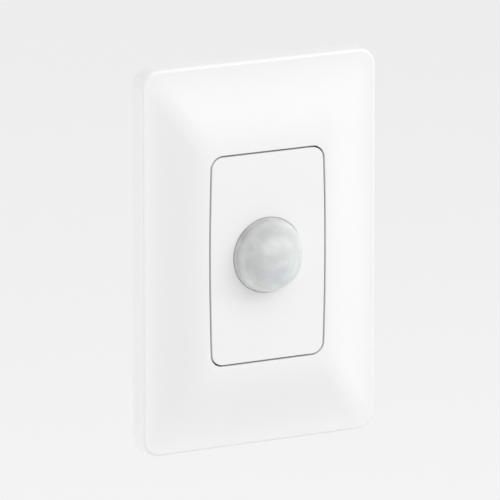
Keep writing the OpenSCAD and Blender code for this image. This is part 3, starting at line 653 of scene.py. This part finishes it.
def plate_wall():
    """Rings from the plate's back edge up its leaning wall and round its rim."""
    wall_top = PLATE_RIM - PLATE_ROUND
    lean = PLATE_DRAFT / wall_top
    rings = [even_ring(SMALL_ROUND - u - lean * v, -v) for u, v in quarter(SMALL_ROUND, SMALL_STEPS)]
    rings += [even_ring(lean * z, z) for z in (SMALL_ROUND + HOLD, wall_top / 2)]
    for s in range(RIM_STEPS + 1):
        a = math.radians(90 * s / RIM_STEPS)
        inset = PLATE_DRAFT + PLATE_ROUND * (1 - math.cos(a))
        rings.append(even_ring(inset, wall_top + PLATE_ROUND * math.sin(a)))
    return rings


def plate_face():
    """Rings over the S-curved bands and round the opening's edge."""
    last = 1 - (PANEL_EDGE + HOLD) / (BAND_X - EDGE_IN)
    rings = []
    for s in range(1, BAND_STEPS + 1):
        t = last * s / BAND_STEPS
        inset_x, inset_y = mix(EDGE_IN, BAND_X, t), mix(EDGE_IN, BAND_Y, t)
        corner = mix(PLATE_CORNER - EDGE_IN, OPEN_CORNER, t)
        rings.append(plate_ring(inset_x, inset_y, corner, PANEL_BOW * t, plate_height(inset_x)))
    return rings + [opening_ring(PANEL_EDGE - u, FACE_Z + v) for u, v in quarter(PANEL_EDGE, EDGE_STEPS)]


def plate_inside():
    """Rings down the lip, back along the inside of the bands and down the wall."""
    lip = FACE_Z - PLATE_LIP
    section = (
        (0, FACE_Z - PANEL_EDGE - HOLD), (0, lip + SMALL_ROUND), (SMALL_ROUND, lip),
        (PLATE_WALL - SMALL_ROUND, lip), (PLATE_WALL, lip + SMALL_ROUND),
    )
    rings = [opening_ring(outward, z) for outward, z in section]
    inner = PLATE_DRAFT + PLATE_WALL
    for s in range(INSIDE_STEPS, -1, -1):
        t = s / INSIDE_STEPS
        inset_x, inset_y = mix(inner, BAND_X - PLATE_WALL, t), mix(inner, BAND_Y - PLATE_WALL, t)
        corner = mix(PLATE_CORNER - PLATE_WALL, OPEN_CORNER + PLATE_WALL, t)
        rings.append(plate_ring(inset_x, inset_y, corner, PANEL_BOW * t, plate_height(inset_x) - PLATE_WALL))
    return rings + [even_ring(PLATE_WALL, SMALL_ROUND), even_ring(PLATE_WALL - SMALL_ROUND, 0)]


def add_clips(bm):
    """Four clips: a shoulder that bears on the frame, a tongue through its window and a barb."""
    top = plate_height(PLATE_X - CLIP_X) - PLATE_WALL / 2
    for sx, sy in CORNERS:
        x, y = sx * CLIP_X, sy * CLIP_Y
        across, along = span(x, CLIP_T), span(y, CLIP_L)
        face = x + sx * CLIP_T / 2
        barb = sorted((face - sx * BARB_ROOT, face + sx * BARB_OUT))
        add_block(bm, across, span(y, CLIP_L + 2 * SHOULDER), (FRAME_FRONT, top), CLIP_EDGE)
        add_block(bm, across, along, (CLIP_Z, FRAME_FRONT + CLIP_ROOT), CLIP_EDGE)
        add_block(bm, barb, along, (BARB_Z, BARB_Z + BARB_H), CLIP_EDGE)


def build_wall_plate():
    """The plate's shell as one closed skin of rings, with its clips."""
    bm = bmesh.new()
    add_rings(bm, plate_wall() + plate_face() + plate_inside())
    add_clips(bm)
    add_piece("plate_shell", "plate", "wall_plate", "plate_white", bm, SHARP_ANGLE)


# Front panel

# Steps of its skin: the lens hole's edge, the face and the underside
HOLE_STEPS = 4
FACE_STEPS = 8
BACK_STEPS = 5

# Ribs inside the skirt
GRIP_L = 8.0
GRIP_H = 0.8
GRIP_RISE = 0.2
GRIP_EDGE = 0.08
GRIP_X = PANEL_SIDE - PANEL_WALL - GRIP_RISE


def panel_ring(inset, z):
    """A ring at a distance in from the panel's edge."""
    corner = max(PANEL_CORNER - inset, LEAST_CORNER)
    return [(x, y, z) for x, y in outline(PANEL_SIDE - inset, PANEL_Y - inset, corner, PANEL_BOW)]


PANEL_ANGLES = [math.atan2(y - LENS_Y, x) for x, y, _ in panel_ring(0, 0)]


def about_lens(radius, angle, z):
    """The bench point at a radius from the lens's axis, an angle in radians round it, and a height."""
    return radius * math.cos(angle), LENS_Y + radius * math.sin(angle), z


def hole_ring(radius, z):
    """A round ring about the lens's axis with a point for each one on the panel's outline."""
    return [about_lens(radius, angle, z) for angle in PANEL_ANGLES]


def panel_face():
    """Rings up the lens's hole, over the panel's face and round its edge."""
    rings = [hole_ring(HOLE_R, z) for z in (PANEL_BACK + HOLD, FACE_Z - HOLE_EDGE - HOLD)]
    rim = reversed(quarter(HOLE_EDGE, HOLE_STEPS))
    rings += [hole_ring(HOLE_R + HOLE_EDGE - u, FACE_Z + v) for u, v in rim]
    inner, outer = hole_ring(HOLE_R + HOLE_EDGE + HOLD, FACE_Z), panel_ring(PANEL_EDGE + HOLD, FACE_Z)
    rings += [between_rings(inner, outer, s / FACE_STEPS) for s in range(FACE_STEPS + 1)]
    return rings + [panel_ring(PANEL_EDGE - u, FACE_Z + v) for u, v in quarter(PANEL_EDGE, EDGE_STEPS)]


def panel_back():
    """Rings down the skirt and up inside it, across the underside and round the collar."""
    skirt = (
        (0, FACE_Z - PANEL_EDGE - HOLD), (0, SKIRT_Z + SMALL_ROUND), (SMALL_ROUND, SKIRT_Z),
        (PANEL_WALL - SMALL_ROUND, SKIRT_Z), (PANEL_WALL, SKIRT_Z + SMALL_ROUND), (PANEL_WALL, PANEL_BACK),
    )
    collar = (
        (COLLAR_OUTER_R, RING_Z + SMALL_ROUND), (COLLAR_OUTER_R - SMALL_ROUND, RING_Z),
        (COLLAR_R + SMALL_ROUND, RING_Z), (COLLAR_R, RING_Z + SMALL_ROUND), (COLLAR_R, PANEL_BACK),
        (HOLE_R + HOLD, PANEL_BACK),
    )
    rings = [panel_ring(inset, z) for inset, z in skirt]
    outer, inner = rings[-1], hole_ring(COLLAR_OUTER_R, PANEL_BACK)
    rings += [between_rings(outer, inner, s / BACK_STEPS) for s in range(1, BACK_STEPS + 1)]
    return rings + [hole_ring(radius, z) for radius, z in collar]


def add_grip_ribs(bm):
    """Four ribs inside the skirt that grip the inner cover."""
    for sx, sy in CORNERS:
        across = sorted((sx * GRIP_X, sx * (PANEL_X - PANEL_WALL / 2)))
        add_block(bm, across, span(sy * PANEL_Y / 2, GRIP_L), (SKIRT_Z, SKIRT_Z + GRIP_H), GRIP_EDGE)


def build_front_panel():
    """The panel as one closed skin of rings, with its grip ribs."""
    bm = bmesh.new()
    add_rings(bm, panel_face() + panel_back())
    add_grip_ribs(bm)
    add_piece("panel_shell", "panel", "front_panel", "panel_white", bm, SHARP_ANGLE)


# Lens

# Steps of its skin: round the axis and down the dome
LENS_TURNS = 144
DOME_STEPS = 48
# Edges of the lens that turn by more degrees than this stay sharp
LENS_SHARP_ANGLE = 12
# A fine bead marks the top of the foot. The dome sinks to it over BEAD_BLEND degrees, and the foot's steps
# count from BEAD_GAP degrees below it
FOOT_H = 1.3
FOOT_STEPS = 3
BEAD_H = 0.16
BEAD_STEPS = 5
BEAD_BLEND = 14
BEAD_GAP = 1
# The lens's side runs straight from FOOT_TUCK below the panel's face
FOOT_TUCK = 0.2
# The inside of the dome starts BORE_STEP in from the bore
BORE_STEP = 0.04
# Rings of small lenses inside the dome: the angle from its axis where each ring ends, and its count
LENSLETS = ((17, 1), (44, 6), (73, 12))
LENSLET_DEPTH = 0.22


def lenslet(angle, turn):
    """Depth of the small lens at an angle from the dome's axis and a turn round it, both in degrees."""
    start = 0
    for end, count in LENSLETS:
        if angle <= end:
            along = angle / end if count == 1 else 2 * (angle - start) / (end - start) - 1
            across = 0 if count == 1 else 2 * ((turn * count / 360) % 1) - 1
            return LENSLET_DEPTH * (1 - along ** 2) * (1 - across ** 2)
        start = end
    return 0


def dome_angle(z):
    """Angle in degrees from the dome's axis at which the dome has a height."""
    return math.degrees(math.acos((z - DOME_Z) / DOME_R))


def round_ring(radius, z):
    """A round ring about the lens's axis."""
    return [about_lens(radius, math.radians(360 * k / LENS_TURNS), z) for k in range(LENS_TURNS)]


def dome_ring(radius, angle, dimpled=False):
    """A ring of the dome at an angle from its axis, in degrees; dimpled adds the small lenses."""
    tilt = math.radians(angle)
    points = []
    for k in range(LENS_TURNS):
        turn = 360 * k / LENS_TURNS
        reach = radius - (lenslet(angle, turn) if dimpled else 0)
        points.append(about_lens(reach * math.sin(tilt), math.radians(turn), DOME_Z + reach * math.cos(tilt)))
    return points


def lens_outside():
    """Rings from near the dome's top down to the bead, the foot and the flange."""
    bead, foot = dome_angle(FACE_Z + FOOT_H), dome_angle(FACE_Z)
    rings = []
    for s in range(1, DOME_STEPS + 1):
        angle = bead * s / DOME_STEPS
        sunk = BEAD_H * ease(max(0, 1 - (bead - angle) / BEAD_BLEND))
        rings.append(dome_ring(DOME_R - sunk, angle))
    for u, v in quarter(BEAD_H, BEAD_STEPS):
        rings.append(dome_ring(DOME_R + v, bead + math.degrees(u / DOME_R)))
    for s in range(1, FOOT_STEPS + 1):
        rings.append(dome_ring(DOME_R, mix(bead + BEAD_GAP, foot, s / FOOT_STEPS)))
    flange = (
        (LENS_R, FACE_Z - FOOT_TUCK), (LENS_R, PANEL_BACK), (FLANGE_R - SMALL_ROUND, PANEL_BACK),
        (FLANGE_R, PANEL_BACK - SMALL_ROUND), (FLANGE_R, FLANGE_Z + SMALL_ROUND),
        (FLANGE_R - SMALL_ROUND, FLANGE_Z),
    )
    return rings + [round_ring(radius, z) for radius, z in flange]


def lens_inside():
    """Rings up the bore and over the inside of the dome, a degree apart, with its small lenses."""
    bore = LENS_R - LENS_WALL
    start = math.degrees(math.asin((bore - BORE_STEP) / DOME_INNER_R))
    angles = [start, *range(int(start), 0, -1)]
    rings = [round_ring(bore, z) for z in (FLANGE_Z, FACE_Z)]
    return rings + [dome_ring(DOME_INNER_R, angle, dimpled=True) for angle in angles]


def build_lens():
    """The lens as one closed skin of rings, with a tip at the top of its outside and its inside."""
    bm = bmesh.new()
    loops = add_rings(bm, lens_outside() + lens_inside(), around=False)
    for loop, top in ((loops[0], DOME_TOP), (loops[-1], DOME_Z + DOME_INNER_R - LENSLET_DEPTH)):
        tip = bm.verts.new(row(0, LENS_Y, top))
        for k in range(LENS_TURNS):
            bm.faces.new((loop[k], loop[(k + 1) % LENS_TURNS], tip))
    add_piece("lens_dome", "panel", "lens", "lens_milky", bm, LENS_SHARP_ANGLE)


# CAD nodes that keep their solids

REDRAWN = ("wall_plate", "front_panel", "lens")
# Widths of their rounded edges: of the large mouldings, and of the rest
EDGE_WIDTHS = {"mounting_frame": 0.3, "rear_housing": 0.3, "terminal_block": 0.25, "inner_cover": 0.25}
EDGE_WIDTH = 0.1
EDGE_SEGMENTS = 2
# Points this near each other, in millimetres, join into one
WELD_REACH = 0.001
# Triangles that meet at less than FLAT_ANGLE degrees join into one face; edges that turn more than EDGE_ANGLE
# degrees are then rounded
FLAT_ANGLE = 0.5
EDGE_ANGLE = 35


def finish_node(node, material, width):
    """Gives a CAD node its finish, closes its mesh's seams, joins its flat faces and rounds its edges."""
    node.data.materials.clear()
    node.data.materials.append(material)
    weld = node.modifiers.new("weld", "WELD")
    weld.merge_threshold = WELD_REACH * MM
    flats = node.modifiers.new("flats", "DECIMATE")
    flats.decimate_type = "DISSOLVE"
    flats.angle_limit = math.radians(FLAT_ANGLE)
    bevel = node.modifiers.new("edges", "BEVEL")
    bevel.width = width * MM
    bevel.segments = EDGE_SEGMENTS
    bevel.limit_method = "ANGLE"
    bevel.angle_limit = math.radians(EDGE_ANGLE)
    node.modifiers.new("shading", "WEIGHTED_NORMAL")


def finish_cad_nodes():
    """Finishes each node that isn't drawn again, by its slot in the record."""
    for part in frame["record"]["subparts"]:
        name = part["node"]
        if name not in REDRAWN:
            width = EDGE_WIDTHS.get(name, EDGE_WIDTH)
            finish_node(frame["nodes"][name], FINISHES[part["material_slot"]], width)


# Studio, in metres

FLOOR_Z = -0.45
FLOOR_HALF = 9.0
FLOOR_CELLS = 12
FLOOR_TONES = (0.875, 0.885)
FLOOR_PATCH_MM = 600
FLOOR_ROUGH = 0.9
FLOOR_SHINE = 0.1
FLOOR_GLOW = 0.203
WORLD_GREY = 0.7
# Lamps: name, the direction they shine from, size, and power in watts
LAMP_DISTANCE = 1.6
LAMPS = (
    ("key", Vector((0.426, -0.656, 0.623)), 0.9, 3.2),
    ("top", Vector((0.15, -0.5, 0.85)), 0.9, 3.5),
    ("low", Vector((0.643, -0.5, 0.579)), 0.5, 2.3),
    ("right", Vector((0.8, -0.5, 0.33)), 0.5, 2.5),
    ("fill", Vector((-0.93, 0.25, -0.25)), 0.9, 9.0),
)

# Camera: angles in degrees, focal length in pixels, and the pixel at which the photo's frame has the origin
CAMERA_LEFT = 27.392
CAMERA_UP = 13.821
CAMERA_DISTANCE = 2.0
FOCAL_PIXELS = 6590.3
FRAME_PIXELS = 500
ORIGIN_PIXEL = (250.556, 248.369)
SENSOR_MM = 36.0


def aim(thing, towards, distance):
    """Puts a lamp or the camera at a distance from the origin in a direction, looking back at the origin."""
    thing.location = towards.normalized() * distance
    thing.rotation_euler = towards.to_track_quat("Z", "Y").to_euler()


def floor_paper():
    """Pale paper that takes shadows, and glows a little where it is seen directly or in gloss and glass."""
    material, tree, principled = shader("floor_paper")
    patches = noise(tree, object_point(tree), FLOOR_PATCH_MM)
    tree.links.new(tint(tree, patches, *map(grey, FLOOR_TONES)), principled.inputs["Base Color"])
    principled.inputs["Roughness"].default_value = FLOOR_ROUGH
    principled.inputs["Specular IOR Level"].default_value = FLOOR_SHINE
    principled.inputs["Emission Color"].default_value = (1, 1, 1, 1)
    rays = tree.nodes.new("ShaderNodeLightPath").outputs
    seen = rays["Is Camera Ray"]
    for ray in ("Is Glossy Ray", "Is Transmission Ray"):
        seen = calc(tree, "MAXIMUM", seen, rays[ray])
    tree.links.new(calc(tree, "MULTIPLY", seen, FLOOR_GLOW), principled.inputs["Emission Strength"])
    return material


def build_floor():
    """A wide floor well below the part."""
    bm = bmesh.new()
    bmesh.ops.create_grid(bm, x_segments=FLOOR_CELLS, y_segments=FLOOR_CELLS, size=FLOOR_HALF)
    mesh = bpy.data.meshes.new("floor")
    bm.to_mesh(mesh)
    bm.free()
    mesh.materials.append(floor_paper())
    floor = new_object("floor", mesh)
    floor.location.z = FLOOR_Z


def build_lights():
    """An even grey world and soft square lamps."""
    world = bpy.data.worlds.new("studio")
    bpy.context.scene.world = world
    world.use_nodes = True
    background = world.node_tree.nodes["Background"]
    background.inputs["Color"].default_value = (*grey(WORLD_GREY), 1)
    for name, towards, size, power in LAMPS:
        light = bpy.data.lights.new(name, "AREA")
        light.energy = power
        light.size = size
        aim(new_object(name, light), towards, LAMP_DISTANCE)


def build_camera():
    """The camera at the photo's viewing angle, with the photo's framing."""
    left, up = math.radians(CAMERA_LEFT), math.radians(CAMERA_UP)
    towards = Vector((-math.sin(left) * math.cos(up), -math.cos(left) * math.cos(up), math.sin(up)))
    lens = bpy.data.cameras.new("photo")
    lens.sensor_width = SENSOR_MM
    lens.lens = FOCAL_PIXELS * SENSOR_MM / FRAME_PIXELS
    lens.shift_x = (FRAME_PIXELS / 2 - ORIGIN_PIXEL[0]) / FRAME_PIXELS
    lens.shift_y = (ORIGIN_PIXEL[1] - FRAME_PIXELS / 2) / FRAME_PIXELS
    camera = new_object("photo", lens)
    aim(camera, towards, CAMERA_DISTANCE)
    bpy.context.scene.camera = camera


bpy.context.scene.view_settings.view_transform = "Standard"
build_wall_plate()
build_front_panel()
build_lens()
finish_cad_nodes()
build_floor()
build_lights()
build_camera()
